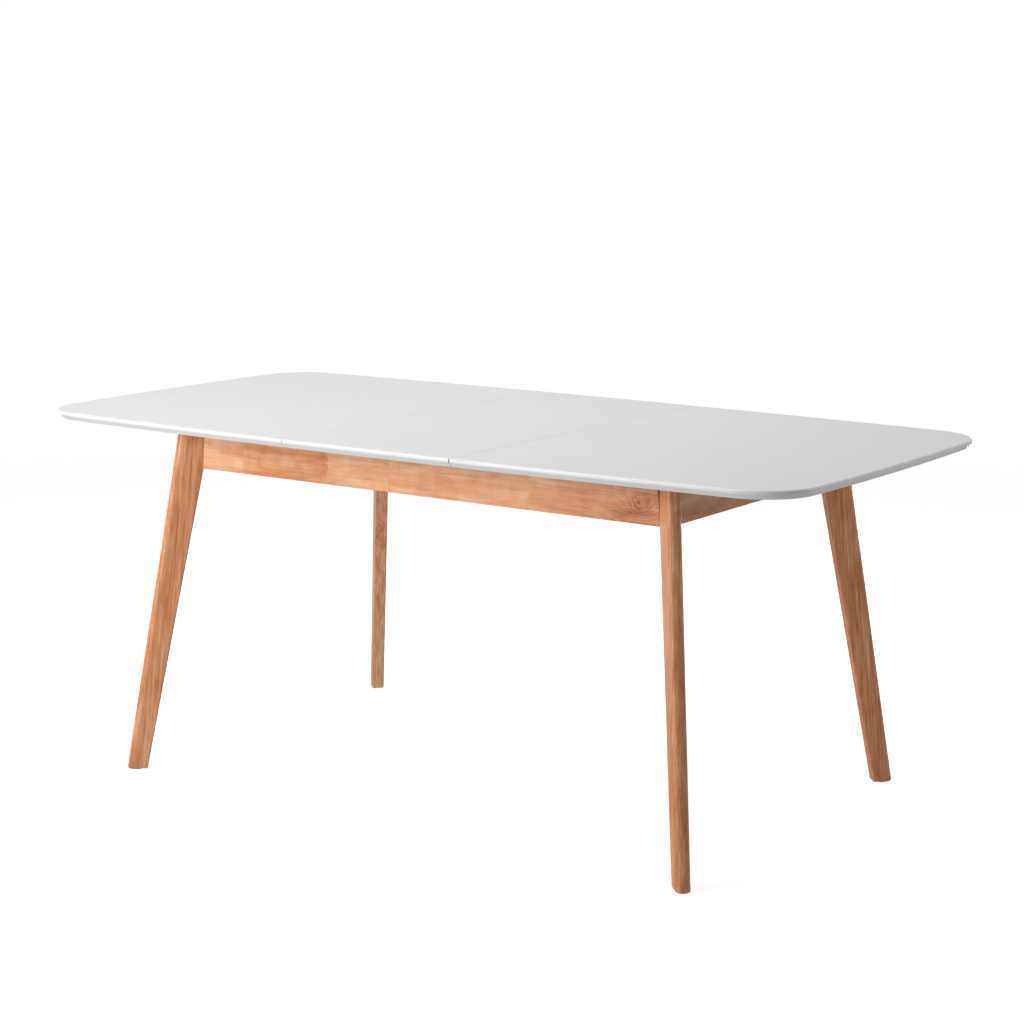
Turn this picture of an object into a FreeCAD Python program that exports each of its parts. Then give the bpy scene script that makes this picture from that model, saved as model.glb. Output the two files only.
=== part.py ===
import FreeCAD, Part
import math
import os
from FreeCAD import Vector

# Extendable dining table, millimetres, +Z up.
# The origin is on the floor under the centre of the opened top.
# +X runs along the table to its right end, and -Y is its front.
# The table stands opened, with its loose leaf between the two halves of the top.

# ---- top ----
HEIGHT = 745.0
TOP_LENGTH = 1800.0
TOP_WIDTH = 900.0
TOP_THICK = 17.0
LEAF_WIDTH = 400.0
LONG_SIDE_RADIUS = 14400.0     # the long sides bow outwards
SHORT_SIDE_RADIUS = 6850.0     # so do the ends, a little more
LONG_SIDE_PIECES = 16          # the arcs along each long side
SHORT_SIDE_PIECES = 8
CORNER_RADIUS = 118.0
UNDERCUT = 10.0                # bevel under the edge of the top
UPPER_ARRIS = 3.5
EDGE_ARRIS = 4.0
LEFT_SEAM_GAP = 0.4
RIGHT_SEAM_GAP = 0.9
SEAM_ARRIS = 0.5
SEAM_NICK_DEPTH = 3.0          # in from the edge, where the pieces' corners are eased
SEAM_NICK_SPREAD = 1.5         # its half-width at the edge, against the seam's gap
UNDERSIDE = HEIGHT - TOP_THICK

# ---- frame ----
FRAME_SHIFT = 24.0             # the left half is pulled out this much further than the right
LEG_X = 558.5                  # leg corners, from the frame's centre
LEG_Y = 304.0
LEG_THICK = 28.0
LEG_TOP_OUT = 47.0             # the leg's outer edge, outwards along the diagonal
LEG_FOOT_OUT = 171.0
LEG_FOOT_WIDTH = 42.0
LEG_OUTER_ROUND = 12.0
LEG_INNER_ROUND = 3.0
FOOT_ROUND = 3.0
GLIDE_THICK = 2.0
GLIDE_RADIUS = 10.0
APRON_THICK = LEG_THICK / math.sqrt(2.0)
APRON_BOTTOM = 638.0
APRON_TOP = UNDERSIDE - 1.0
APRON_HEIGHT = APRON_TOP - APRON_BOTTOM
APRON_ARRIS = 2.0
JOINT_LEAN = math.tan(math.radians(2.45))   # the apron ends lean inwards going up
OPEN_JOINT_START = 682.0       # the front apron's right joint stands open above this
OPEN_JOINT_WIDTH = 3.5
PAD_RADIUS = 6.0
PAD_PLACES = (300.0, 500.0)    # on the long aprons, from the frame's centre

# ---- corner blocks and their bolts ----
BLOCK_NEAR = -24.0             # along the leg's diagonal
BLOCK_FAR = -60.0
BLOCK_BOTTOM = 641.0
BLOCK_TOP = 721.0
BOLT_RADIUS = 4.0
BOLT_HOLE_RADIUS = 4.5
BOLT_HEIGHTS = (662.0, 704.0)
BOLT_IN_LEG = 20.0
BOLT_END = -74.0
WASHER_RADIUS = 9.0
WASHER_THICK = 1.6
NUT_THICK = 6.5
NUT_RADIUS = 7.5
BLOCK_SCREW_SIDE = 36.0
BLOCK_SCREW_HEIGHTS = (653.0, 709.0)
BLOCK_SCREW_LENGTH = 30.0

# ---- dowels ----
DOWEL_RADIUS = 4.0
DOWEL_HALF = 20.0
LONG_DOWEL_HEIGHTS = (651.0, 693.0)
SHORT_DOWEL_HEIGHTS = (673.0, 715.0)
DOWEL_IN_APRON = 12.0
DOWEL_IN_RAIL = 18.0

# ---- guide rails and runners ----
RAIL_Y = 170.0
RAIL_WIDTH = 30.0
RAIL_BOTTOM = UNDERSIDE - 34.0
RAIL_TOP = UNDERSIDE - 1.0
GROOVE_MIDDLE = UNDERSIDE - 18.0
TONGUE_DEPTH = 8.0
TONGUE_HEIGHT = 10.0
SLIDE_GAP = 0.4
TONGUE_GAP = 0.3
RUNNER_WIDTH = 22.0
RUNNER_BOTTOM = UNDERSIDE - 31.0
RUNNER_REACH = 150.0           # the runners end this far past the leaf's middle
RUNNER_SCREW_START = 30.0      # the first screw, from the seam
RUNNER_SCREW_STEP = 125.0
HALF_TRAVEL = 240.0            # each half's travel, from closed to its stop
BEARER_X = 230.0
BEARER_WIDTH = 50.0
BEARER_HEIGHT = 22.0
BEARER_BOTTOM = RAIL_BOTTOM - BEARER_HEIGHT
BEARER_SCREW_LENGTH = 33.0

# ---- leaf battens ----
BATTEN_X = 100.0
BATTEN_WIDTH = 30.0
BATTEN_HEIGHT = 22.0
BATTEN_PLAY = 1.5
BATTEN_SCREW_STEP = 82.0

# ---- latches ----
LATCH_Y = 236.0
LATCH_SETBACK = 23.0           # the pivot and the keeper's stud, each from the seam
LATCH_PLATE_THICK = 1.5
LATCH_PLATE_HALF_WIDTH = 13.0
LATCH_PLATE_HALF_LENGTH = 17.0
LATCH_SCREW_PLACE = 12.0       # from the plate's middle
LATCH_LEVER_THICK = 2.0
LATCH_LEVER_GAP = 0.2
LATCH_PIN_RADIUS = 3.0
LATCH_PIVOT_PLAY = 0.05
LATCH_PIN_HEAD_RADIUS = 5.0
LATCH_PIN_HEAD_THICK = 1.5
LATCH_BOSS_RADIUS = 9.0
LATCH_BAR_WIDTH = 14.0
LATCH_NOTCH_CLEARANCE = 0.4
LATCH_NOTCH_SWEEP = 45.0       # degrees of the slot that opens the hook
LATCH_TAB_END = -24.0
LATCH_TAB_DROP = 11.0

# ---- wood screws ----
SCREW_RADIUS = 2.0
SCREW_HEAD_RADIUS = 4.0
SCREW_HEAD_HEIGHT = 2.4
SMALL_SCREW_RADIUS = 1.5

# ---- worked-out places ----
FAR = 150.0                    # longer than any cut that has to run out of a leg
RUNNER_INNER_FACE = RAIL_Y - RAIL_WIDTH / 2 - SLIDE_GAP - RUNNER_WIDTH
LEVER_TOP = UNDERSIDE - LATCH_PLATE_THICK - LATCH_LEVER_GAP
LEVER_BOTTOM = LEVER_TOP - LATCH_LEVER_THICK
STUD_SHOULDER = LEVER_BOTTOM - LATCH_LEVER_GAP
LATCH_SPAN = 2 * LATCH_SETBACK
LEFT_OPENING = LEAF_WIDTH / 2 + FRAME_SHIFT
RIGHT_OPENING = LEAF_WIDTH / 2 - FRAME_SHIFT
APRON_END = LEG_X - APRON_THICK / 2
SHORT_APRON_END = LEG_Y - APRON_THICK / 2
CORNERS = {
    "front_left": (-1, -1),
    "front_right": (1, -1),
    "rear_left": (-1, 1),
    "rear_right": (1, 1),
}
SIDES = {"front": -1, "rear": 1}
UP = Vector(0, 0, 1)

nodes = {}


def box(x0, x1, y0, y1, z0, z1):
    """A box between two corners, given in any order."""
    low = Vector(min(x0, x1), min(y0, y1), min(z0, z1))
    return Part.makeBox(abs(x1 - x0), abs(y1 - y0), abs(z1 - z0), low)


def rod(radius, start, end):
    """A round rod from one point to another."""
    run = end - start
    return Part.makeCylinder(radius, run.Length, start, run)


def prism(points, height):
    """An upright prism on a closed polygon of (x, y, z) points."""
    vectors = [Vector(*point) for point in points]
    outline = Part.makePolygon(vectors + [vectors[0]])
    return Part.Face(outline).extrude(height)


def screw(tip, head, radius=SCREW_RADIUS, head_radius=SCREW_HEAD_RADIUS, head_height=SCREW_HEAD_HEIGHT):
    """A countersunk wood screw whose flat head lies flush at the point head."""
    towards_tip = tip - head
    cone = Part.makeCone(head_radius, radius, head_height, head, towards_tip)
    return rod(radius, head, tip).fuse(cone).removeSplitter()


def cut_all(shape, tools):
    """The shape with every tool cut out of it, as one plain solid."""
    if not tools:
        return shape
    return shape.cut(tools).Solids[0]


def to_corner(shape, side_x, side_y):
    """Carry a shape from the leg's own frame, where +X is the outward diagonal, to a corner."""
    placed = shape.copy()
    placed.rotate(Vector(0, 0, 0), UP, math.degrees(math.atan2(side_y, side_x)))
    placed.translate(Vector(FRAME_SHIFT + side_x * LEG_X, side_y * LEG_Y, 0))
    return placed


# ---- the top ----

def corner_arc_centre():
    """Centre of the corner arc, tangent inside the long-side arc and the end arc."""
    long_centre = TOP_WIDTH / 2 - LONG_SIDE_RADIUS
    end_centre = TOP_LENGTH / 2 - SHORT_SIDE_RADIUS
    long_reach = LONG_SIDE_RADIUS - CORNER_RADIUS
    end_reach = SHORT_SIDE_RADIUS - CORNER_RADIUS
    span = math.hypot(end_centre, long_centre)
    along = (long_reach ** 2 - end_reach ** 2 + span ** 2) / (2 * span)
    aside = math.sqrt(long_reach ** 2 - along ** 2)
    unit = (end_centre / span, -long_centre / span)
    return (unit[0] * along + unit[1] * aside, long_centre + unit[1] * along - unit[0] * aside)


def short_arcs(start, middle, end, count):
    """The arc through three points, as several shorter arcs in a row."""
    whole = Part.Arc(start, middle, end)
    step = (whole.LastParameter - whole.FirstParameter) / count

    def at(number):
        return whole.value(whole.FirstParameter + number * step)

    return [Part.Arc(at(n), at(n + 0.5), at(n + 1)).toShape() for n in range(count)]


def top_outline():
    """The bowed plan of the opened top: long sides and ends of shallow arcs, joined by corner arcs."""
    centre_x, centre_y = corner_arc_centre()
    long_centre = TOP_WIDTH / 2 - LONG_SIDE_RADIUS
    end_centre = TOP_LENGTH / 2 - SHORT_SIDE_RADIUS

    def beyond(from_x, from_y, radius):
        run = math.hypot(centre_x - from_x, centre_y - from_y)
        return ((centre_x - from_x) / run * radius + from_x, (centre_y - from_y) / run * radius + from_y)

    on_long = beyond(0, long_centre, LONG_SIDE_RADIUS)
    on_end = beyond(end_centre, 0, SHORT_SIDE_RADIUS)
    turn = math.atan2(on_long[1] + on_end[1] - 2 * centre_y, on_long[0] + on_end[0] - 2 * centre_x)
    on_corner = (centre_x + CORNER_RADIUS * math.cos(turn), centre_y + CORNER_RADIUS * math.sin(turn))

    def at(point, sign_x=1, sign_y=1):
        return Vector(point[0] * sign_x, point[1] * sign_y, UNDERSIDE)

    end_middle = (TOP_LENGTH / 2, 0)
    long_middle = (0, TOP_WIDTH / 2)
    arcs = [
        (at(on_end, 1, -1), at(end_middle), at(on_end), SHORT_SIDE_PIECES),
        (at(on_end), at(on_corner), at(on_long), 1),
        (at(on_long), at(long_middle), at(on_long, -1), LONG_SIDE_PIECES),
        (at(on_long, -1), at(on_corner, -1), at(on_end, -1), 1),
        (at(on_end, -1), at(end_middle, -1), at(on_end, -1, -1), SHORT_SIDE_PIECES),
        (at(on_end, -1, -1), at(on_corner, -1, -1), at(on_long, -1, -1), 1),
        (at(on_long, -1, -1), at(long_middle, 1, -1), at(on_long, 1, -1), LONG_SIDE_PIECES),
        (at(on_long, 1, -1), at(on_corner, 1, -1), at(on_end, 1, -1), 1),
    ]
    return Part.Wire([piece for arc in arcs for piece in short_arcs(*arc)])


def edges_at(shape, height):
    """The edges that lie level at one height."""
    return [edge for edge in shape.Edges
            if abs(edge.BoundBox.ZMin - height) < 1e-4 and abs(edge.BoundBox.ZMax - height) < 1e-4]


def seam_groove(seam_x, gap):
    """The shallow V that the eased arrises leave along a seam."""
    reach = gap / 2 + SEAM_ARRIS
    return prism([
        (seam_x - reach, -TOP_WIDTH, HEIGHT),
        (seam_x + reach, -TOP_WIDTH, HEIGHT),
        (seam_x, -TOP_WIDTH, HEIGHT - reach),
    ], Vector(0, 2 * TOP_WIDTH, 0))


def seam_nicks(seam_x, gap):
    """The small upright V at each end of a seam, where the pieces' corners are eased."""
    edge = TOP_WIDTH / 2 - seam_x ** 2 / (2 * LONG_SIDE_RADIUS)
    spread = 2 * SEAM_NICK_SPREAD * gap
    outside = edge + SEAM_NICK_DEPTH
    inside = edge - SEAM_NICK_DEPTH
    bottom = UNDERSIDE - 1
    return [prism([
        (seam_x - spread, side_y * outside, bottom),
        (seam_x + spread, side_y * outside, bottom),
        (seam_x, side_y * inside, bottom),
    ], Vector(0, 0, TOP_THICK + 2)) for side_y in (-1, 1)]


def whole_top():
    """The slab with its rounded upper arris, its full edge and the bevel under it."""
    slab = Part.Face(top_outline()).extrude(Vector(0, 0, TOP_THICK))
    slab = slab.makeChamfer(UNDERCUT, edges_at(slab, UNDERSIDE))
    slab = slab.makeFillet(EDGE_ARRIS, edges_at(slab, UNDERSIDE + UNDERCUT))
    slab = slab.makeFillet(UPPER_ARRIS, edges_at(slab, HEIGHT))
    seams = ((-LEAF_WIDTH / 2, LEFT_SEAM_GAP), (LEAF_WIDTH / 2, RIGHT_SEAM_GAP))
    grooves = [seam_groove(*seam) for seam in seams]
    nicks = [nick for seam in seams for nick in seam_nicks(*seam)]
    return slab.cut(grooves + nicks)


def top_piece(slab, x0, x1):
    """One piece of the slab between two cuts."""
    return slab.common(box(x0, x1, -TOP_WIDTH, TOP_WIDTH, UNDERSIDE - 1, HEIGHT + 1)).Solids[0]


# ---- legs, glides and aprons ----

def outer_edge(height):
    """How far out along the diagonal the leg's outer edge is at a height."""
    return LEG_FOOT_OUT + (LEG_TOP_OUT - LEG_FOOT_OUT) * height / UNDERSIDE


def corner_prism():
    """Space outside the two leaning apron ends, which gives the leg's top its V."""
    root = math.sqrt(0.5)

    def ring(height):
        inner = -APRON_THICK / 2 - JOINT_LEAN * (height - APRON_BOTTOM)
        square = ((inner, inner), (FAR, inner), (FAR, FAR), (inner, FAR))
        points = [Vector((a + b) * root, (b - a) * root, height) for a, b in square]
        return Part.makePolygon(points + [points[0]])

    return Part.makeLoft([ring(APRON_BOTTOM), ring(APRON_TOP)], True, True)


def long_edges(shape, sideways, inner):
    """The leg's long upright edges on its flat sides, inner or outer."""
    found = []
    for edge in shape.Edges:
        bounds = edge.BoundBox
        on_side = abs(abs(bounds.YMin) - sideways) < 1e-4 and abs(bounds.YLength) < 1e-4
        tall = bounds.ZLength > APRON_BOTTOM / 2
        outwards = bounds.XMax > LEG_FOOT_OUT - LEG_FOOT_WIDTH / 2
        if on_side and tall and outwards != inner:
            found.append(edge)
    return found


def leg_shape():
    """A board set on the diagonal, splayed outwards and tapered, with a V at its top."""
    half = LEG_THICK / 2
    across = Vector(0, LEG_THICK, 0)
    foot_in = LEG_FOOT_OUT - LEG_FOOT_WIDTH
    lower = prism([
        (foot_in, -half, GLIDE_THICK),
        (outer_edge(GLIDE_THICK), -half, GLIDE_THICK),
        (outer_edge(APRON_BOTTOM), -half, APRON_BOTTOM),
        (0, -half, APRON_BOTTOM),
    ], across)
    lower = lower.makeFillet(LEG_INNER_ROUND, long_edges(lower, half, True))
    upper = prism([
        (-FAR, -half, APRON_BOTTOM),
        (outer_edge(APRON_BOTTOM), -half, APRON_BOTTOM),
        (outer_edge(APRON_TOP), -half, APRON_TOP),
        (-FAR, -half, APRON_TOP),
    ], across)
    leg = lower.fuse(upper.common(corner_prism())).removeSplitter()
    leg = leg.makeFillet(LEG_OUTER_ROUND, long_edges(leg, half, False))
    leg = leg.makeFillet(FOOT_ROUND, edges_at(leg, GLIDE_THICK))
    return leg.Solids[0]


def bolt_points(height):
    """Where one hanger bolt starts in the leg and ends past the corner block."""
    return Vector(BOLT_IN_LEG, 0, height), Vector(BOLT_END, 0, height)


def hanger_bolts():
    return [rod(BOLT_RADIUS, *bolt_points(height)) for height in BOLT_HEIGHTS]


def bolt_holes():
    return [rod(BOLT_HOLE_RADIUS, *bolt_points(height)) for height in BOLT_HEIGHTS]


def apron_dowels():
    """Two dowels in each apron end, at heights that miss each other and the bolts."""
    dowels = []
    for side_x, side_y in CORNERS.values():
        for height in LONG_DOWEL_HEIGHTS:
            middle = Vector(FRAME_SHIFT + side_x * APRON_END, side_y * LEG_Y, height)
            reach = Vector(DOWEL_HALF, 0, 0)
            dowels.append(rod(DOWEL_RADIUS, middle - reach, middle + reach))
        for height in SHORT_DOWEL_HEIGHTS:
            middle = Vector(FRAME_SHIFT + side_x * LEG_X, side_y * SHORT_APRON_END, height)
            reach = Vector(0, DOWEL_HALF, 0)
            dowels.append(rod(DOWEL_RADIUS, middle - reach, middle + reach))
    return dowels


def apron(half_length, thickness_run, to_point):
    """A board whose ends lean in, with its lower arrises rounded."""
    half_top = half_length - JOINT_LEAN * APRON_HEIGHT
    board = prism([
        to_point(-half_length, APRON_BOTTOM),
        to_point(half_length, APRON_BOTTOM),
        to_point(half_top, APRON_TOP),
        to_point(-half_top, APRON_TOP),
    ], thickness_run)
    lower = [edge for edge in edges_at(board, APRON_BOTTOM) if edge.Length > 2 * APRON_THICK]
    return board.makeFillet(APRON_ARRIS, lower)


def long_apron(side_y):
    start_y = side_y * LEG_Y - APRON_THICK / 2
    return apron(APRON_END, Vector(0, APRON_THICK, 0), lambda along, z: (FRAME_SHIFT + along, start_y, z))


def short_apron(side_x):
    start_x = FRAME_SHIFT + side_x * LEG_X - APRON_THICK / 2
    return apron(SHORT_APRON_END, Vector(APRON_THICK, 0, 0), lambda along, z: (start_x, along, z))


def open_joint():
    """The wedge missing from the front apron's right end, where the joint stands open."""
    def end(height):
        return FRAME_SHIFT + APRON_END - JOINT_LEAN * (height - APRON_BOTTOM)

    start_y = -LEG_Y - APRON_THICK
    top = APRON_TOP + 1
    return prism([
        (end(OPEN_JOINT_START), start_y, OPEN_JOINT_START),
        (end(top) + OPEN_JOINT_WIDTH, start_y, top),
        (end(top) - OPEN_JOINT_WIDTH, start_y, top),
    ], Vector(0, 2 * APRON_THICK, 0))


def slide_pads():
    """Thin pads on the aprons that the halves of the top slide on."""
    spots = []
    for side_x, side_y in CORNERS.values():
        for along in PAD_PLACES:
            spots.append((FRAME_SHIFT + side_x * along, side_y * LEG_Y))
        spots.append((FRAME_SHIFT + side_x * LEG_X, side_y * LEG_Y / 2))
    return [rod(PAD_RADIUS, Vector(x, y, APRON_TOP), Vector(x, y, UNDERSIDE)) for x, y in spots]


def build_legs(dowels):
    """The four legs with their glides, bored for the dowels and the hanger bolts."""
    plain = leg_shape()
    foot_middle = LEG_FOOT_OUT - LEG_FOOT_WIDTH / 2
    glide = rod(GLIDE_RADIUS, Vector(foot_middle, 0, 0), Vector(foot_middle, 0, GLIDE_THICK))
    for name, (side_x, side_y) in CORNERS.items():
        bolts = [to_corner(bolt, side_x, side_y) for bolt in hanger_bolts()]
        nodes["leg_" + name] = cut_all(to_corner(plain, side_x, side_y), dowels + bolts)
        nodes["foot_glide_" + name] = to_corner(glide, side_x, side_y)


# ---- corner blocks ----

def corner_block():
    """A block across the corner, bored for the two hanger bolts."""
    inner_edge = -LEG_THICK / 2
    near = inner_edge - BLOCK_NEAR
    far = inner_edge - BLOCK_FAR
    block = prism([
        (BLOCK_NEAR, -near, BLOCK_BOTTOM),
        (BLOCK_NEAR, near, BLOCK_BOTTOM),
        (BLOCK_FAR, far, BLOCK_BOTTOM),
        (BLOCK_FAR, -far, BLOCK_BOTTOM),
    ], Vector(0, 0, BLOCK_TOP - BLOCK_BOTTOM))
    return block.cut(bolt_holes())


def block_screws():
    """Four screws that hold a corner block to its two aprons."""
    found = []
    for side in (-1, 1):
        for height in BLOCK_SCREW_HEIGHTS:
            head = Vector(BLOCK_FAR, side * BLOCK_SCREW_SIDE, height)
            found.append(screw(head + Vector(BLOCK_SCREW_LENGTH, 0, 0), head))
    return found


def washer(height):
    face = Vector(BLOCK_FAR, 0, height)
    back = face - Vector(WASHER_THICK, 0, 0)
    return rod(WASHER_RADIUS, face, back).cut(rod(BOLT_HOLE_RADIUS, face, back))


def hexagon_nut(height):
    start = BLOCK_FAR - WASHER_THICK
    points = []
    for step in range(6):
        angle = math.radians(60 * step)
        points.append((start, NUT_RADIUS * math.cos(angle), height + NUT_RADIUS * math.sin(angle)))
    return prism(points, Vector(-NUT_THICK, 0, 0)).cut(rod(BOLT_RADIUS, *bolt_points(height)))


def build_corners():
    """Corner blocks, and their bolts, washers, nuts and screws as groups."""
    plain = cut_all(corner_block(), block_screws())
    groups = {
        "hanger_bolts": hanger_bolts(),
        "hanger_bolt_washers": [washer(height) for height in BOLT_HEIGHTS],
        "hanger_bolt_nuts": [hexagon_nut(height) for height in BOLT_HEIGHTS],
        "corner_block_screws": block_screws(),
    }
    for name, (side_x, side_y) in CORNERS.items():
        nodes["corner_block_" + name] = to_corner(plain, side_x, side_y)
    for group, shapes in groups.items():
        nodes[group] = [to_corner(shape, *signs) for signs in CORNERS.values() for shape in shapes]


# ---- guide rails, cross bearers and aprons ----

def guide_rail(side_y):
    """A bar between the short aprons, with a groove along each side."""
    ends = (FRAME_SHIFT - APRON_END, FRAME_SHIFT + APRON_END)
    middle = side_y * RAIL_Y
    half = RAIL_WIDTH / 2
    rail = box(*ends, middle - half, middle + half, RAIL_BOTTOM, RAIL_TOP)
    groove_half = TONGUE_HEIGHT / 2 + TONGUE_GAP
    grooves = []
    for flank in (-1, 1):
        face = middle + flank * half
        grooves.append(box(*ends, face, face - flank * TONGUE_DEPTH,
                           GROOVE_MIDDLE - groove_half, GROOVE_MIDDLE + groove_half))
    return rail.cut(grooves)


def rail_dowels():
    """One dowel through each rail end into the short apron."""
    found = []
    height = (RAIL_BOTTOM + GROOVE_MIDDLE - TONGUE_HEIGHT / 2) / 2
    for side_x in (-1, 1):
        face = FRAME_SHIFT + side_x * APRON_END
        for side_y in SIDES.values():
            found.append(rod(DOWEL_RADIUS, Vector(face - side_x * DOWEL_IN_RAIL, side_y * RAIL_Y, height),
                             Vector(face + side_x * DOWEL_IN_APRON, side_y * RAIL_Y, height)))
    return found


def cross_bearer(side_x):
    middle = FRAME_SHIFT + side_x * BEARER_X
    half = BEARER_WIDTH / 2
    return box(middle - half, middle + half, -SHORT_APRON_END, SHORT_APRON_END, BEARER_BOTTOM, RAIL_BOTTOM)


def bearer_dowels():
    """Two dowels in each end of each cross bearer."""
    found = []
    height = BEARER_BOTTOM + BEARER_HEIGHT / 2
    for side_x, side_y in CORNERS.values():
        for flank in (-1, 1):
            x = FRAME_SHIFT + side_x * BEARER_X + flank * BEARER_WIDTH / 4
            face = side_y * SHORT_APRON_END
            found.append(rod(DOWEL_RADIUS, Vector(x, face - side_y * DOWEL_IN_RAIL, height),
                             Vector(x, face + side_y * DOWEL_IN_APRON, height)))
    return found


def rail_screws():
    """Screws up through the cross bearers into the guide rails."""
    found = []
    for side_x, side_y in CORNERS.values():
        head = Vector(FRAME_SHIFT + side_x * BEARER_X, side_y * RAIL_Y, BEARER_BOTTOM)
        found.append(screw(head + Vector(0, 0, BEARER_SCREW_LENGTH), head))
    return found


def build_frame():
    """Everything that stays still: legs, aprons, corner blocks, guide rails and bearers."""
    dowels = apron_dowels()
    build_legs(dowels)
    build_corners()
    holes = [to_corner(hole, *signs) for signs in CORNERS.values() for hole in bolt_holes()]
    bored = dowels + holes + rail_dowels() + bearer_dowels() + nodes["corner_block_screws"]
    nodes["front_apron"] = cut_all(long_apron(-1), bored + [open_joint()])
    nodes["rear_apron"] = cut_all(long_apron(1), bored)
    nodes["left_apron"] = cut_all(short_apron(-1), bored)
    nodes["right_apron"] = cut_all(short_apron(1), bored)
    for name, side_y in SIDES.items():
        nodes[name + "_guide_rail"] = cut_all(guide_rail(side_y), rail_dowels() + rail_screws())
    nodes["left_cross_bearer"] = cut_all(cross_bearer(-1), rail_screws() + bearer_dowels())
    nodes["right_cross_bearer"] = cut_all(cross_bearer(1), rail_screws() + bearer_dowels())
    nodes["apron_dowels"] = dowels
    nodes["guide_rail_dowels"] = rail_dowels()
    nodes["cross_bearer_dowels"] = bearer_dowels()
    nodes["guide_rail_screws"] = rail_screws()
    nodes["apron_slide_pads"] = slide_pads()


# ---- runners ----

def runner(side_x, side_y):
    """A bar under one half of the top, with a tongue in the guide rail's groove.

    The left half's runners lie outside the rails, the right half's inside them.
    """
    flank = -side_x * side_y
    outer_end = FRAME_SHIFT + side_x * (APRON_END - HALF_TRAVEL + opening(side_x))
    rail_face = side_y * RAIL_Y + flank * RAIL_WIDTH / 2
    face = rail_face + flank * SLIDE_GAP
    bar = box(outer_end, -side_x * RUNNER_REACH, face, face + flank * RUNNER_WIDTH, RUNNER_BOTTOM, UNDERSIDE)
    tongue = box(outer_end, -side_x * RUNNER_REACH, face, face - flank * TONGUE_DEPTH,
                 GROOVE_MIDDLE - TONGUE_HEIGHT / 2, GROOVE_MIDDLE + TONGUE_HEIGHT / 2)
    return bar.fuse(tongue).removeSplitter()


def opening(side_x):
    """How far one half already stands open."""
    return RIGHT_OPENING if side_x > 0 else LEFT_OPENING


def runner_screws(side_x):
    """Three screws up through each runner into the top."""
    found = []
    for side_y in SIDES.values():
        flank = -side_x * side_y
        y = side_y * RAIL_Y + flank * (RAIL_WIDTH / 2 + SLIDE_GAP + RUNNER_WIDTH / 2)
        for step in range(3):
            from_seam = RUNNER_SCREW_START + RUNNER_SCREW_STEP * step
            head = Vector(side_x * (LEAF_WIDTH / 2 + from_seam), y, RUNNER_BOTTOM)
            found.append(screw(Vector(head.x, y, UNDERSIDE + TOP_THICK / 2), head))
    return found


# ---- latches ----

def latch_stud(x, y):
    """A headed pin under a plate: a lever's pivot, or a keeper's stud."""
    shank = rod(LATCH_PIN_RADIUS, Vector(x, y, STUD_SHOULDER), Vector(x, y, UNDERSIDE - LATCH_PLATE_THICK))
    head = rod(LATCH_PIN_HEAD_RADIUS, Vector(x, y, STUD_SHOULDER - LATCH_PIN_HEAD_THICK),
               Vector(x, y, STUD_SHOULDER))
    return shank.fuse(head).removeSplitter()


def latch_plate(x, y):
    """A plate under the top with rounded corners, and its two flush screws."""
    reach = LATCH_PLATE_HALF_LENGTH
    plate = box(x - reach, x + reach, y - LATCH_PLATE_HALF_WIDTH, y + LATCH_PLATE_HALF_WIDTH,
                UNDERSIDE - LATCH_PLATE_THICK, UNDERSIDE)
    upright = [edge for edge in plate.Edges if edge.BoundBox.ZLength > LATCH_PLATE_THICK / 2]
    plate = plate.makeFillet(LATCH_PIN_RADIUS, upright)
    screws = []
    for flank in (-1, 1):
        head = Vector(x + flank * LATCH_SCREW_PLACE, y, UNDERSIDE - LATCH_PLATE_THICK)
        tip = Vector(head.x, y, UNDERSIDE + TOP_THICK / 2)
        screws.append(screw(tip, head, SMALL_SCREW_RADIUS, 2 * SMALL_SCREW_RADIUS, SMALL_SCREW_RADIUS))
    return cut_all(plate, screws), screws


def latch_lever(pivot_x, side_y):
    """A flat lever with a hook's notch and a finger tab, stowed pointing outwards.

    It turns a quarter turn towards +X to catch the keeper's stud across the seam.
    """
    centre = Vector(0, 0, LEVER_BOTTOM)
    tip = Vector(LATCH_SPAN, 0, LEVER_BOTTOM)
    rise = Vector(0, 0, LATCH_LEVER_THICK)
    half = LATCH_BAR_WIDTH / 2
    blank = rod(LATCH_BOSS_RADIUS, centre, centre + rise)
    blank = blank.fuse(rod(LATCH_BOSS_RADIUS, tip, tip + rise))
    blank = blank.fuse(box(0, LATCH_SPAN, -half, half, LEVER_BOTTOM, LEVER_TOP))
    blank = blank.fuse(box(LATCH_TAB_END, 0, -half, half, LEVER_BOTTOM, LEVER_TOP))
    blank = blank.fuse(box(LATCH_TAB_END, LATCH_TAB_END + LATCH_LEVER_THICK, -half, half,
                           LEVER_BOTTOM - LATCH_TAB_DROP, LEVER_TOP))
    notch_half = LATCH_PIN_RADIUS + LATCH_NOTCH_CLEARANCE
    outer = Part.makeCylinder(LATCH_SPAN + notch_half, LATCH_LEVER_THICK, centre, UP, LATCH_NOTCH_SWEEP)
    inner = Part.makeCylinder(LATCH_SPAN - notch_half, LATCH_LEVER_THICK, centre, UP, LATCH_NOTCH_SWEEP)
    notch = outer.cut(inner).fuse(rod(notch_half, tip, tip + rise))
    if side_y > 0:
        notch = notch.mirror(Vector(0, 0, 0), Vector(0, 1, 0))
    hole = rod(LATCH_PIN_RADIUS + LATCH_PIVOT_PLAY, centre, centre + rise)
    lever = blank.cut([notch, hole]).removeSplitter().Solids[0]
    lever.rotate(Vector(0, 0, 0), UP, 90.0 * side_y)
    lever.translate(Vector(pivot_x, side_y * LATCH_Y, 0))
    return lever


def latch_row(x):
    """The front and rear plates, studs and screws at one distance along the table."""
    plates = []
    studs = []
    screws = []
    for side_y in SIDES.values():
        plate, plate_screws = latch_plate(x, side_y * LATCH_Y)
        plates.append(plate)
        studs.append(latch_stud(x, side_y * LATCH_Y))
        screws += plate_screws
    return plates, studs, screws


# ---- the three pieces of the top with what they carry ----

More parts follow.
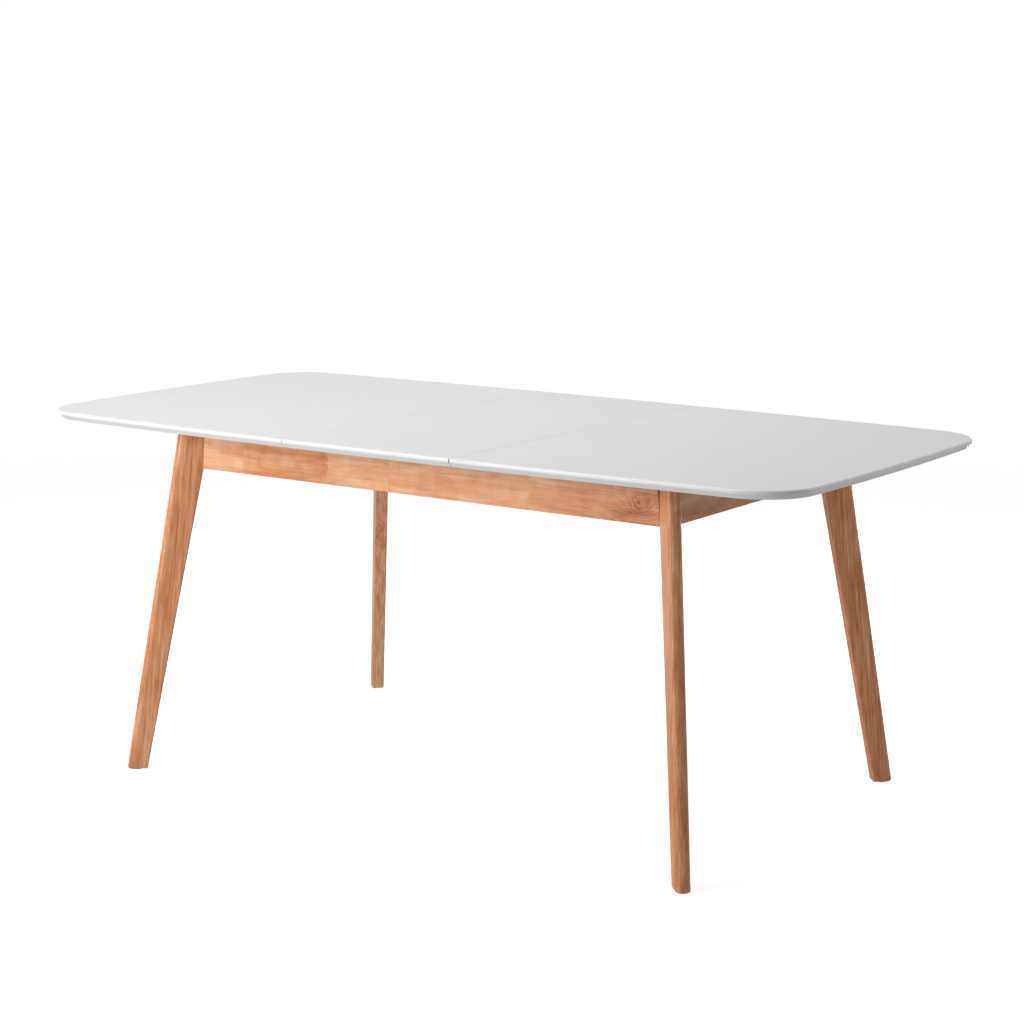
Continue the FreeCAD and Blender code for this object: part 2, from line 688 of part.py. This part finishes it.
def batten(side_x):
    """A bar across the leaf that drops between the inner runners and locates the leaf."""
    middle = side_x * BATTEN_X
    half = BATTEN_WIDTH / 2
    reach = RUNNER_INNER_FACE - BATTEN_PLAY
    bar = box(middle - half, middle + half, -reach, reach, UNDERSIDE - BATTEN_HEIGHT, UNDERSIDE)
    screws = []
    for step in (-1, 0, 1):
        head = Vector(middle, step * BATTEN_SCREW_STEP, UNDERSIDE - BATTEN_HEIGHT)
        screws.append(screw(Vector(head.x, head.y, UNDERSIDE + TOP_THICK / 2), head))
    return cut_all(bar, screws), screws


def build_half(name, side_x, slab, hardware):
    """One half of the top with its two runners."""
    gap = RIGHT_SEAM_GAP if side_x > 0 else LEFT_SEAM_GAP
    seam_x = side_x * (LEAF_WIDTH + gap) / 2
    piece = top_piece(slab, seam_x, side_x * TOP_LENGTH)
    screws = runner_screws(side_x)
    nodes[name + "_top_half"] = cut_all(piece, screws + hardware)
    for side_name, side_y in SIDES.items():
        nodes[name + "_" + side_name + "_runner"] = cut_all(runner(side_x, side_y), screws)
    nodes[name + "_runner_screws"] = screws


def build_leaf(slab, hardware):
    """The loose leaf with its two battens."""
    piece = top_piece(slab, (LEFT_SEAM_GAP - LEAF_WIDTH) / 2, (LEAF_WIDTH - RIGHT_SEAM_GAP) / 2)
    left, left_screws = batten(-1)
    right, right_screws = batten(1)
    nodes["leaf_left_batten"] = left
    nodes["leaf_right_batten"] = right
    nodes["leaf_batten_screws"] = left_screws + right_screws
    nodes["leaf"] = cut_all(piece, left_screws + right_screws + hardware)


def build_top():
    """Both halves and the leaf, with a latch on the left of each seam and a keeper on its right."""
    slab = whole_top()
    seam = LEAF_WIDTH / 2
    left_plates, left_pivots, left_screws = latch_row(-seam - LATCH_SETBACK)
    leaf_keepers, leaf_studs, keeper_screws = latch_row(-seam + LATCH_SETBACK)
    leaf_plates, leaf_pivots, leaf_screws = latch_row(seam - LATCH_SETBACK)
    right_keepers, right_studs, right_screws = latch_row(seam + LATCH_SETBACK)
    build_half("left", -1, slab, left_screws)
    build_half("right", 1, slab, right_screws)
    build_leaf(slab, keeper_screws + leaf_screws)
    nodes["left_latch_plates"] = left_plates
    nodes["left_latch_pivots"] = left_pivots
    nodes["left_latch_screws"] = left_screws
    nodes["leaf_keeper_plates"] = leaf_keepers
    nodes["leaf_keeper_studs"] = leaf_studs
    nodes["leaf_latch_plates"] = leaf_plates
    nodes["leaf_latch_pivots"] = leaf_pivots
    nodes["leaf_plate_screws"] = keeper_screws + leaf_screws
    nodes["right_keeper_plates"] = right_keepers
    nodes["right_keeper_studs"] = right_studs
    nodes["right_keeper_screws"] = right_screws
    for side_name, side_y in SIDES.items():
        nodes["left_" + side_name + "_latch_lever"] = latch_lever(-seam - LATCH_SETBACK, side_y)
        nodes["leaf_" + side_name + "_latch_lever"] = latch_lever(seam - LATCH_SETBACK, side_y)


def export():
    os.makedirs("parts", exist_ok=True)
    for name, shape in nodes.items():
        solid = Part.makeCompound(shape) if isinstance(shape, list) else shape
        solid.exportStep("parts/" + name + ".step")
        print(name, len(solid.Solids), round(solid.Volume / 1000.0, 2), solid.isValid())


build_frame()
build_top()
export()
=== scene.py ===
import math

import bpy
from mathutils import Matrix, Vector


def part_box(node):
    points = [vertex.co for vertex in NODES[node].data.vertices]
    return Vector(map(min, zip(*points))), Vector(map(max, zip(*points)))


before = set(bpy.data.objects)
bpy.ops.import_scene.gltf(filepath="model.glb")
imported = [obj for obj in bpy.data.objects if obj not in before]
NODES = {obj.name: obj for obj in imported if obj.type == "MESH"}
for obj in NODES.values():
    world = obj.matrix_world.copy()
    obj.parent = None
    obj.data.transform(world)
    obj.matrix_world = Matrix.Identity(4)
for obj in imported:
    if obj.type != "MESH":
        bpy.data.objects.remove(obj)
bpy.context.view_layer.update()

# ---- camera, in metres, degrees and millimetres of lens ----
CAMERA_PLACE = Vector((2.66878, -3.82741, 1.41650))
CAMERA_HEADING = 33.689
CAMERA_DOWN = 10.433
CAMERA_ROLL = 0.400
CAMERA_LENS = 80.976
CAMERA_SHIFT = -0.03335
SENSOR_WIDTH = 36.0

# ---- colours, linear ----
WHITE_LACQUER = (0.80, 0.80, 0.81)
SEALED_UNDERSIDE = (0.70, 0.69, 0.67)
# painted shadow: dark brown for the faces where the leaf and the halves meet, standing for the shade in
# the gaps, darker than bare board would be
JOINT_GAP_SHADOW = (0.10, 0.075, 0.055)
WOOD_TONES = (
    (0.00, (0.84, 0.53, 0.325)),
    (0.28, (0.73, 0.348, 0.174)),
    (0.52, (0.59, 0.232, 0.098)),
    (0.76, (0.41, 0.128, 0.045)),
    (1.00, (0.21, 0.055, 0.018)),
)
KNOT_HEART = (0.13, 0.045, 0.018)
BRIGHT_ZINC = (0.55, 0.55, 0.54)
YELLOW_ZINC = (0.60, 0.50, 0.28)
GLIDE_GREY = (0.60, 0.60, 0.58)
PAD_WHITE = (0.80, 0.80, 0.78)

# ---- how much each pattern darkens plain wood, and what is added to that on streaky wood ----
CLOUD = (0.85, -0.35)
STREAK = (0.55, 0.75)
FIGURE = (0.34, -0.28)
FIBRE = 0.45
PORES = 0.16
RINGS = 0.10
RINGS_AT_KNOT = 0.34
KNOT_SWELL = 3.3
KNOT_WARP = 1.4

# ---- knots, in metres: how far from the board's edges, and how far they spread ----
APRON_KNOT_FROM_END = 0.042
APRON_KNOT_UP = 0.031
APRON_KNOT_SPREAD = (0.020, 0.05, 0.015)
LEG_KNOT_FROM_INSIDE = 0.045
LEG_KNOT_FROM_FRONT = 0.03
LEG_KNOT_HEIGHT = 0.55          # as a share of the leg's
LEG_KNOT_SPREAD = (0.012, 0.03, 0.028)

# ---- finger joints: where, as a share of the board's length, and how much darker it is past them ----
FRONT_STAVES = ((0.10, 0.09), (0.30, -0.03), (0.44, -0.02), (0.74, 0.10), (0.91, 0.16))
REAR_STAVES = ((0.22, 0.08), (0.51, -0.12), (0.80, 0.10))
LEFT_STAVES = ((0.05, 0.10),)   # its place in metres along Y
JOINT_JUMP = 4.37               # how far apart two staves' patterns are
JOINT_RAGGED = 0.008
JOINT_SOFT = 0.015

# ---- painted shadow on the faces where the leaf and the halves meet ----
JOINT_REACH = 0.25              # they lie within this of the middle, in metres
LEFT_JOINT_SHADOW_SHARE = 0.35          # how strong the painted shadow is on the left ones, against the right ones

# ---- the studio's brightness, and its floor's fade in metres ----
AMBIENT = 0.14
REFLECTED = 0.60
FLOOR_GLOW = 0.72
FLOOR_BOUNCE = 0.40
FLOOR_FADE_START = 1.6
FLOOR_FADE_END = 5.0
FLOOR_SIZE = 200.0

# ---- square lights: name, place, size in metres, power in watts ----
LIGHT_AIM = Vector((0, 0, 0.6))
LIGHTS = (
    ("key_light", (-0.9, -2.6, 1.28), 1.2, 47),
    ("front_fill", (-0.7, -2.6, 0.15), 1.2, 14),
    ("left_fill", (-3.2, 0.4, 0.28), 0.5, 14),
    ("back_fill", (0.0, 3.3, 0.28), 0.6, 22),
    ("top_light", (-0.75, 0.0, 3.2), 2.4, 58),
    ("rim_light", (3.3, 2.0, 2.0), 1.2, 32),
)

WHITE = (1, 1, 1, 1)
FLOOR_PAINT = (0.80, 0.80, 0.80, 1)
X_WAY = Vector((1, 0, 0))
Y_WAY = Vector((0, 1, 0))
LEG_TONES = {"front_left": 0.39, "front_right": 0.41, "rear_left": 0.24, "rear_right": 0.43}

# A Mix node's sockets for colours: three of its inputs and one of its outputs.
MIX_FACTOR = 0
MIX_FIRST = 6
MIX_SECOND = 7
MIX_RESULT = 2


# ---- node helpers ----

def add(tree, kind, values=None, **settings):
    """One shader node, its inputs set to values or linked to sockets."""
    made = tree.nodes.new(kind)
    for key, value in settings.items():
        setattr(made, key, value)
    for key, value in (values or {}).items():
        if isinstance(value, bpy.types.NodeSocket):
            tree.links.new(value, made.inputs[key])
        else:
            made.inputs[key].default_value = value
    return made


def calc(tree, operation, *values):
    """A number worked out from one, two or three numbers or sockets."""
    return add(tree, "ShaderNodeMath", dict(enumerate(values)), operation=operation).outputs[0]


def plus(tree, base, value, amount):
    """Adds amount times a noise's distance from its middle to a base."""
    return calc(tree, "MULTIPLY_ADD", calc(tree, "SUBTRACT", value, 0.5), amount, base)


def move(tree, operation, first, second):
    """A vector worked out from two vectors."""
    return add(tree, "ShaderNodeVectorMath", {0: first, 1: second}, operation=operation).outputs[0]


def length(tree, vector):
    """A vector's length."""
    return add(tree, "ShaderNodeVectorMath", {0: vector}, operation="LENGTH").outputs["Value"]


def noise(tree, vector, detail=2.0, roughness=0.5, distortion=0.0):
    """Smooth noise from 0 to 1 at a point already scaled."""
    values = {"Vector": vector, "Scale": 1.0, "Detail": detail, "Roughness": roughness,
              "Distortion": distortion}
    return add(tree, "ShaderNodeTexNoise", values).outputs["Fac"]


def ramp(tree, factor, *stops):
    """A colour or grey picked by a factor between (place, value) stops."""
    made = add(tree, "ShaderNodeValToRGB", {"Fac": factor})
    elements = made.color_ramp.elements
    while len(elements) < len(stops):
        elements.new(0.5)
    for element, (place, value) in zip(elements, stops):
        colour = value if isinstance(value, tuple) else (value, value, value)
        element.position = place
        element.color = (*colour, 1.0)
    return made.outputs["Color"]


def mix(tree, factor, first, second, mode="MIX"):
    """Two colours mixed by a factor."""
    made = add(tree, "ShaderNodeMix", data_type="RGBA", blend_type=mode)
    for index, value in ((MIX_FACTOR, factor), (MIX_FIRST, first), (MIX_SECOND, second)):
        if isinstance(value, bpy.types.NodeSocket):
            tree.links.new(value, made.inputs[index])
        elif isinstance(value, tuple):
            made.inputs[index].default_value = (*value, 1.0)
        else:
            made.inputs[index].default_value = value
    return made.outputs[MIX_RESULT]


def shaded(tree, colour, value, low, span):
    """A colour made darker by a noise, from low to low plus span."""
    level = calc(tree, "MULTIPLY_ADD", value, span, low)
    grey = add(tree, "ShaderNodeCombineColor", {0: level, 1: level, 2: level}).outputs[0]
    return mix(tree, 1.0, colour, grey, "MULTIPLY")


def scaled(tree, vector, along, across, shift):
    """The point scaled along and across X, in its own part of the noise."""
    values = {"Vector": vector, "Scale": (along, across, across),
              "Location": (shift, -1.7 * shift, 2.3 * shift)}
    return add(tree, "ShaderNodeMapping", values).outputs["Vector"]


def smooth_step(tree, value, start, end):
    """From 0 to 1 as a value goes from start to end, with soft ends."""
    values = {"Value": value, "From Min": start, "From Max": end}
    return add(tree, "ShaderNodeMapRange", values, interpolation_type="SMOOTHSTEP").outputs[0]


def part_of(tree, vector, axis):
    """One coordinate of a vector."""
    return add(tree, "ShaderNodeSeparateXYZ", {"Vector": vector}).outputs[axis]


def new_material(name):
    """An empty node material with its tree, shader and the point in object space."""
    material = bpy.data.materials.new(name)
    material.use_nodes = True
    tree = material.node_tree
    shader = tree.nodes["Principled BSDF"]
    point = add(tree, "ShaderNodeTexCoord").outputs["Object"]
    return material, tree, shader, point


def set_bump(tree, shader, height, strength, distance):
    """Relief on a surface, distance in metres."""
    bump = add(tree, "ShaderNodeBump", {"Height": height, "Strength": strength, "Distance": distance})
    tree.links.new(bump.outputs["Normal"], shader.inputs["Normal"])


# ---- wood ----

def along_grain(tree, point, grain):
    """Turns a point so that its X runs along the grain."""
    turn = grain.normalized().rotation_difference(X_WAY).to_euler()
    return add(tree, "ShaderNodeMapping", {"Vector": point, "Rotation": turn}).outputs["Vector"]


def join_staves(tree, vector, staves, seed):
    """Moves the noise at each finger joint of the board, and gives each stave's own tone."""
    along = part_of(tree, vector, "X")
    ragged = plus(tree, along, noise(tree, scaled(tree, vector, 1.0, 140.0, seed), 0.0), JOINT_RAGGED)
    jump = seed
    tone = 0.0
    for place, change in staves:
        jump = calc(tree, "MULTIPLY_ADD", calc(tree, "GREATER_THAN", ragged, place), JOINT_JUMP, jump)
        past = smooth_step(tree, ragged, place - JOINT_SOFT, place + JOINT_SOFT)
        tone = calc(tree, "MULTIPLY_ADD", past, change, tone)
    shift = add(tree, "ShaderNodeCombineXYZ", {"X": jump, "Y": jump, "Z": jump}).outputs[0]
    return move(tree, "ADD", vector, shift), tone


def knot_distance(tree, point, knot):
    """Distance from a knot's centre, 1 at its uneven edge."""
    centre, spread = knot
    away = move(tree, "DIVIDE", move(tree, "SUBTRACT", point, centre), spread)
    bent = add(tree, "ShaderNodeTexNoise", {"Vector": away, "Scale": 0.8, "Detail": 1.0}).outputs["Color"]
    either_way = move(tree, "SUBTRACT", bent, (0.5, 0.5, 0.5))
    pushed = move(tree, "MULTIPLY", either_way, (KNOT_WARP, KNOT_WARP, KNOT_WARP))
    return length(tree, move(tree, "ADD", away, pushed))


def growth_rings(tree, vector, swell):
    """Soft bands of late wood, bent by slow noise and round the knots."""
    parts = add(tree, "ShaderNodeSeparateXYZ", {"Vector": vector}).outputs
    drift = noise(tree, scaled(tree, vector, 3.2, 9.0, 2.9), 2.0)
    waver = noise(tree, scaled(tree, vector, 16.0, 60.0, 7.7), 1.0)
    depth = calc(tree, "MULTIPLY_ADD", parts["Y"], 0.6, parts["Z"])
    rings = calc(tree, "MULTIPLY_ADD", drift, 9.0, calc(tree, "MULTIPLY", depth, 55.0))
    rings = calc(tree, "ADD", calc(tree, "MULTIPLY_ADD", waver, 0.7, rings), swell)
    return ramp(tree, calc(tree, "FRACT", rings), (0.0, 0.35), (0.45, 0.0), (0.9, 1.0), (1.0, 0.35))


def knot_pull(tree, point, knots):
    """How far the knots push the rings here, and how near the nearest knot is."""
    swell = 0.0
    nearness = 0.0
    for knot in knots:
        reach = knot_distance(tree, point, knot)
        bump = calc(tree, "EXPONENT", calc(tree, "MULTIPLY", calc(tree, "MULTIPLY", reach, reach), -0.5))
        swell = calc(tree, "MULTIPLY_ADD", bump, KNOT_SWELL, swell)
        nearness = calc(tree, "MAXIMUM", nearness, bump)
    return swell, nearness


def knot_hearts(tree, point, knots, colour):
    """The wood's colour with the dark middle of each knot."""
    for knot in knots:
        heart = ramp(tree, knot_distance(tree, point, knot), (0.06, 0.7), (0.22, 0.0))
        colour = mix(tree, heart, colour, KNOT_HEART)
    return colour


def darken(tree, shade, vector, fibre, pores, contrast, streaky):
    """Adds clouds, streaks, fibres, figure and pores to the wood's darkness."""
    cloud = noise(tree, scaled(tree, vector, 5.0, 26.0, 1.1), 2.0, 0.5, 0.3)
    streak = noise(tree, scaled(tree, vector, 7.0, 230.0, 3.3), 3.0, 0.7, 0.5)
    figure = noise(tree, scaled(tree, vector, 34.0, 22.0, 8.3), 2.0, 0.5, 0.6)
    patterns = ((cloud, CLOUD), (streak, STREAK), (fibre, (FIBRE, 0.0)), (figure, FIGURE))
    for pattern, (plain, more) in patterns:
        shade = plus(tree, shade, pattern, (plain + more * streaky) * contrast)
    return calc(tree, "MULTIPLY_ADD", pores, PORES, shade)


def wood(name, grain, seed, tone, staves=(), knots=(), contrast=1.0, roughness=0.36, streaky=0.0):
    """Satin rubberwood: joined staves, clouds, streaks, rings, fibres, knots and short dark pores."""
    material, tree, shader, point = new_material(name)
    vector, stave_tone = join_staves(tree, along_grain(tree, point, grain), staves, seed)
    fibre = noise(tree, scaled(tree, vector, 10.0, 620.0, 5.5), 2.0, 0.6)
    pores = noise(tree, scaled(tree, vector, 85.0, 1500.0, 6.1), 1.0)
    pores = ramp(tree, pores, (0.60, 0.0), (0.72, 1.0))

    swell, nearness = knot_pull(tree, point, knots)
    ring_depth = calc(tree, "MULTIPLY_ADD", nearness, RINGS_AT_KNOT, RINGS * contrast)
    shade = calc(tree, "ADD", stave_tone, tone - RINGS / 2)
    shade = calc(tree, "MULTIPLY_ADD", growth_rings(tree, vector, swell), ring_depth, shade)
    shade = darken(tree, shade, vector, fibre, pores, contrast, streaky)
    colour = knot_hearts(tree, point, knots, ramp(tree, shade, *WOOD_TONES))
    tree.links.new(colour, shader.inputs["Base Color"])

    rough = plus(tree, roughness, fibre, 0.18)
    tree.links.new(rough, shader.inputs["Roughness"])
    shader.inputs["Specular IOR Level"].default_value = 0.3
    set_bump(tree, shader, calc(tree, "MULTIPLY_ADD", pores, -1.0, fibre), 0.3, 0.00012)
    return material


# ---- the other materials ----

def gap_shadow_mask(tree, point, facing):
    """1 on the faces where the leaf and the halves meet, less on the left, 0 elsewhere: where the painted
    shadow of the gaps goes.
    """
    along = part_of(tree, point, "X")
    sideways = ramp(tree, calc(tree, "ABSOLUTE", part_of(tree, facing, "X")), (0.84, 0.0), (0.95, 1.0))
    near_leaf = calc(tree, "LESS_THAN", calc(tree, "ABSOLUTE", along), JOINT_REACH)
    on_right = calc(tree, "GREATER_THAN", along, 0.0)
    # the painted shadow is weaker on the left joint, where the gap's shade is fainter
    shadow_share = calc(tree, "MULTIPLY_ADD", on_right, 1.0 - LEFT_JOINT_SHADOW_SHARE, LEFT_JOINT_SHADOW_SHARE)
    return calc(tree, "MULTIPLY", calc(tree, "MULTIPLY", sideways, near_leaf), shadow_share)


def lacquer():
    """Sprayed satin white: a fine orange peel and faint haze, duller below, with painted shadow on the
    faces where the pieces meet.
    """
    material, tree, shader, point = new_material("white_lacquer")
    facing = add(tree, "ShaderNodeNewGeometry").outputs["Normal"]
    below = ramp(tree, calc(tree, "MULTIPLY", part_of(tree, facing, "Z"), -1.0), (0.96, 0.0), (0.99, 1.0))
    haze = noise(tree, scaled(tree, point, 3.0, 3.0, 1.0), 3.0, 0.6)
    face = mix(tree, below, shaded(tree, WHITE_LACQUER, haze, 0.96, 0.06), SEALED_UNDERSIDE)
    # painted shadow: the joint faces turn dark brown to stand for the shade in the gaps
    colour = mix(tree, gap_shadow_mask(tree, point, facing), face, JOINT_GAP_SHADOW)
    tree.links.new(colour, shader.inputs["Base Color"])
    smear = noise(tree, scaled(tree, point, 9.0, 9.0, 2.0), 4.0, 0.65)
    rough = calc(tree, "MULTIPLY_ADD", smear, 0.10, calc(tree, "MULTIPLY_ADD", below, 0.20, 0.32))
    tree.links.new(rough, shader.inputs["Roughness"])
    peel = noise(tree, scaled(tree, point, 400.0, 400.0, 3.0), 2.0, 0.4)
    set_bump(tree, shader, peel, 0.10, 0.0001)
    return material


def plated_steel(name, colour, roughness):
    """Zinc-plated steel with cloudy patches and a fine drawn grain."""
    material, tree, shader, point = new_material(name)
    cloud = noise(tree, scaled(tree, point, 160.0, 160.0, 1.0), 3.0, 0.6)
    drawn = noise(tree, scaled(tree, point, 200.0, 2500.0, 2.0), 2.0)
    tree.links.new(shaded(tree, colour, cloud, 0.75, 0.45), shader.inputs["Base Color"])
    tree.links.new(calc(tree, "MULTIPLY_ADD", drawn, 0.25, roughness), shader.inputs["Roughness"])
    shader.inputs["Metallic"].default_value = 1.0
    set_bump(tree, shader, drawn, 0.2, 0.00005)
    return material


def nylon(name, colour):
    """Moulded nylon with a fine satin texture."""
    material, tree, shader, point = new_material(name)
    grain = noise(tree, scaled(tree, point, 900.0, 900.0, 1.0), 2.0)
    tree.links.new(shaded(tree, colour, grain, 0.88, 0.20), shader.inputs["Base Color"])
    tree.links.new(calc(tree, "MULTIPLY_ADD", grain, 0.2, 0.4), shader.inputs["Roughness"])
    set_bump(tree, shader, grain, 0.3, 0.00005)
    return material


# ---- a material for every node ----

def dress(names, material):
    """Puts a material in the slots of CAD nodes."""
    for name in names:
        for slot in NODES[name].material_slots:
            slot.material = material


def leg_grain(name):
    """The grain runs a little more upright than the leg leans."""
    low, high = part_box(name)
    inwards = Vector((-1 if "right" in name else 1, -1 if "rear" in name else 1, 0))
    return inwards * 0.35 * (high.x - low.x) + Vector((0, 0, high.z - low.z))


def staves_along(name, joints):
    """A board's finger joints, their places in metres along X."""
    low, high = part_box(name)
    span = high.x - low.x
    return [(low.x + part * span, change) for part, change in joints]


def dress_aprons():
    """Each apron with its own staves and tone, and the knot near the front one's right end."""
    low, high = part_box("front_apron")
    knot = ((high.x - APRON_KNOT_FROM_END, low.y, low.z + APRON_KNOT_UP), APRON_KNOT_SPREAD)
    front_staves = staves_along("front_apron", FRONT_STAVES)
    rear_staves = staves_along("rear_apron", REAR_STAVES)
    dress(["front_apron"], wood("front_apron_wood", X_WAY, 2.0, 0.22, front_staves, [knot]))
    dress(["rear_apron"], wood("rear_apron_wood", X_WAY, 5.0, 0.36, rear_staves))
    dress(["left_apron"], wood("left_apron_wood", Y_WAY, 7.0, 0.34, LEFT_STAVES))
    dress(["right_apron"], wood("right_apron_wood", Y_WAY, 11.0, 0.26, contrast=0.8))


def dress_legs():
    """Each leg with its own grain and tone, and a knot about half-way up the rear left one."""
    for number, (corner, tone) in enumerate(LEG_TONES.items()):
        name = "leg_" + corner
        low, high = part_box(name)
        knots = []
        if corner == "rear_left":
            centre = (high.x - LEG_KNOT_FROM_INSIDE, low.y + LEG_KNOT_FROM_FRONT, LEG_KNOT_HEIGHT * high.z)
            knots = [(centre, LEG_KNOT_SPREAD)]
        seed = 13.0 + 3 * number
        dress([name], wood(name + "_wood", leg_grain(name), seed, tone, knots=knots, streaky=1.0))


def dress_hidden_wood():
    """The blocks, rails, runners, bearers, battens and dowels under the top."""
    for number, corner in enumerate(LEG_TONES):
        across = Vector((1, -1, 0)) if corner in ("front_left", "rear_right") else Vector((1, 1, 0))
        name = "corner_block_" + corner
        dress([name], wood(name + "_wood", across, 31.0 + number, 0.25, roughness=0.6))
    along = [name for name in NODES if name.endswith("guide_rail") or name.endswith("runner")]
    for number, name in enumerate(sorted(along)):
        dress([name], wood(name + "_wood", X_WAY, 41.0 + number, 0.30, roughness=0.5))
    across = [name for name in NODES if name.endswith("bearer") or name.endswith("batten")]
    for number, name in enumerate(sorted(across)):
        dress([name], wood(name + "_wood", Y_WAY, 53.0 + number, 0.22, roughness=0.6))
    dowels = [name for name in NODES if name.endswith("dowels")]
    dress(dowels, wood("dowel_wood", X_WAY, 61.0, 0.2, roughness=0.7))


def dress_rest():
    """Lacquer, plated steel and nylon. The screws come last, so the latches' own are yellow too."""
    dress(["left_top_half", "right_top_half", "leaf"], lacquer())
    bright = plated_steel("bright_zinc", BRIGHT_ZINC, 0.25)
    dress([name for name in NODES if "latch" in name or "keeper" in name or "bolt" in name], bright)
    yellow = plated_steel("yellow_zinc", YELLOW_ZINC, 0.30)
    dress([name for name in NODES if name.endswith("screws")], yellow)
    dress([name for name in NODES if name.startswith("foot_glide")], nylon("glide_nylon", GLIDE_GREY))
    dress(["apron_slide_pads"], nylon("pad_nylon", PAD_WHITE))


# ---- the studio ----

def add_light(name, place, size, power):
    """A square soft light at a place, turned towards the table."""
    data = bpy.data.lights.new(name, "AREA")
    data.size = size
    data.energy = power
    lamp = bpy.data.objects.new(name, data)
    lamp.location = place
    lamp.rotation_euler = (LIGHT_AIM - Vector(place)).to_track_quat("-Z", "Y").to_euler()
    bpy.context.scene.collection.objects.link(lamp)


def floor_material():
    """Pale, fading to white far off, dimmer to the table than to the camera, and clear from below."""
    material, tree, shader, point = new_material("studio_floor")
    shader.inputs["Base Color"].default_value = FLOOR_PAINT
    shader.inputs["Roughness"].default_value = 1.0
    shader.inputs["Specular IOR Level"].default_value = 0.0
    shader.inputs["Emission Color"].default_value = WHITE
    shader.inputs["Emission Strength"].default_value = FLOOR_GLOW
    white = add(tree, "ShaderNodeEmission", {"Color": WHITE, "Strength": 1.0})
    bounce = add(tree, "ShaderNodeEmission", {"Color": WHITE, "Strength": FLOOR_BOUNCE})
    clear = add(tree, "ShaderNodeBsdfTransparent")
    far = smooth_step(tree, length(tree, point), FLOOR_FADE_START, FLOOR_FADE_END)
    looked_at = add(tree, "ShaderNodeLightPath").outputs["Is Camera Ray"]
    from_below = add(tree, "ShaderNodeNewGeometry").outputs["Backfacing"]
    seen = add(tree, "ShaderNodeMixShader", {0: far, 1: shader.outputs[0], 2: white.outputs[0]})
    either = add(tree, "ShaderNodeMixShader", {0: looked_at, 1: bounce.outputs[0], 2: seen.outputs[0]})
    shown = add(tree, "ShaderNodeMixShader", {0: from_below, 1: either.outputs[0], 2: clear.outputs[0]})
    tree.links.new(shown.outputs[0], tree.nodes["Material Output"].inputs["Surface"])
    return material


def build_floor():
    """A wide floor under the feet, on the stage."""
    bpy.ops.mesh.primitive_plane_add(size=FLOOR_SIZE, location=(0, 0, 0))
    floor = bpy.context.active_object
    floor.name = "studio_floor"
    floor.data.materials.append(floor_material())


def build_world():
    """A white backdrop that gives the table a sheen but only a little light."""
    world = bpy.data.worlds.new("studio_world")
    bpy.context.scene.world = world
    world.use_nodes = True
    tree = world.node_tree
    background = tree.nodes["Background"]
    ray = add(tree, "ShaderNodeLightPath").outputs
    strength = calc(tree, "MULTIPLY_ADD", ray["Is Camera Ray"], 1.0 - AMBIENT, AMBIENT)
    strength = calc(tree, "MULTIPLY_ADD", ray["Is Glossy Ray"], REFLECTED - AMBIENT, strength)
    tree.links.new(strength, background.inputs["Strength"])
    background.inputs["Color"].default_value = WHITE


def place_camera():
    """The camera, above the sitters' eyes, looking along the table from its front right."""
    data = bpy.data.cameras.new("camera")
    data.sensor_width = SENSOR_WIDTH
    data.lens = CAMERA_LENS
    data.shift_x = CAMERA_SHIFT
    camera = bpy.data.objects.new("camera", data)
    heading = Matrix.Rotation(math.radians(CAMERA_HEADING), 4, "Z")
    down = Matrix.Rotation(math.radians(90 - CAMERA_DOWN), 4, "X")
    roll = Matrix.Rotation(math.radians(CAMERA_ROLL), 4, "Z")
    camera.matrix_world = Matrix.Translation(CAMERA_PLACE) @ heading @ down @ roll
    bpy.context.scene.collection.objects.link(camera)
    bpy.context.scene.camera = camera


place_camera()
dress_aprons()
dress_legs()
dress_hidden_wood()
dress_rest()
build_floor()
build_world()
for light in LIGHTS:
    add_light(*light)
bpy.context.scene.view_settings.view_transform = "Standard"
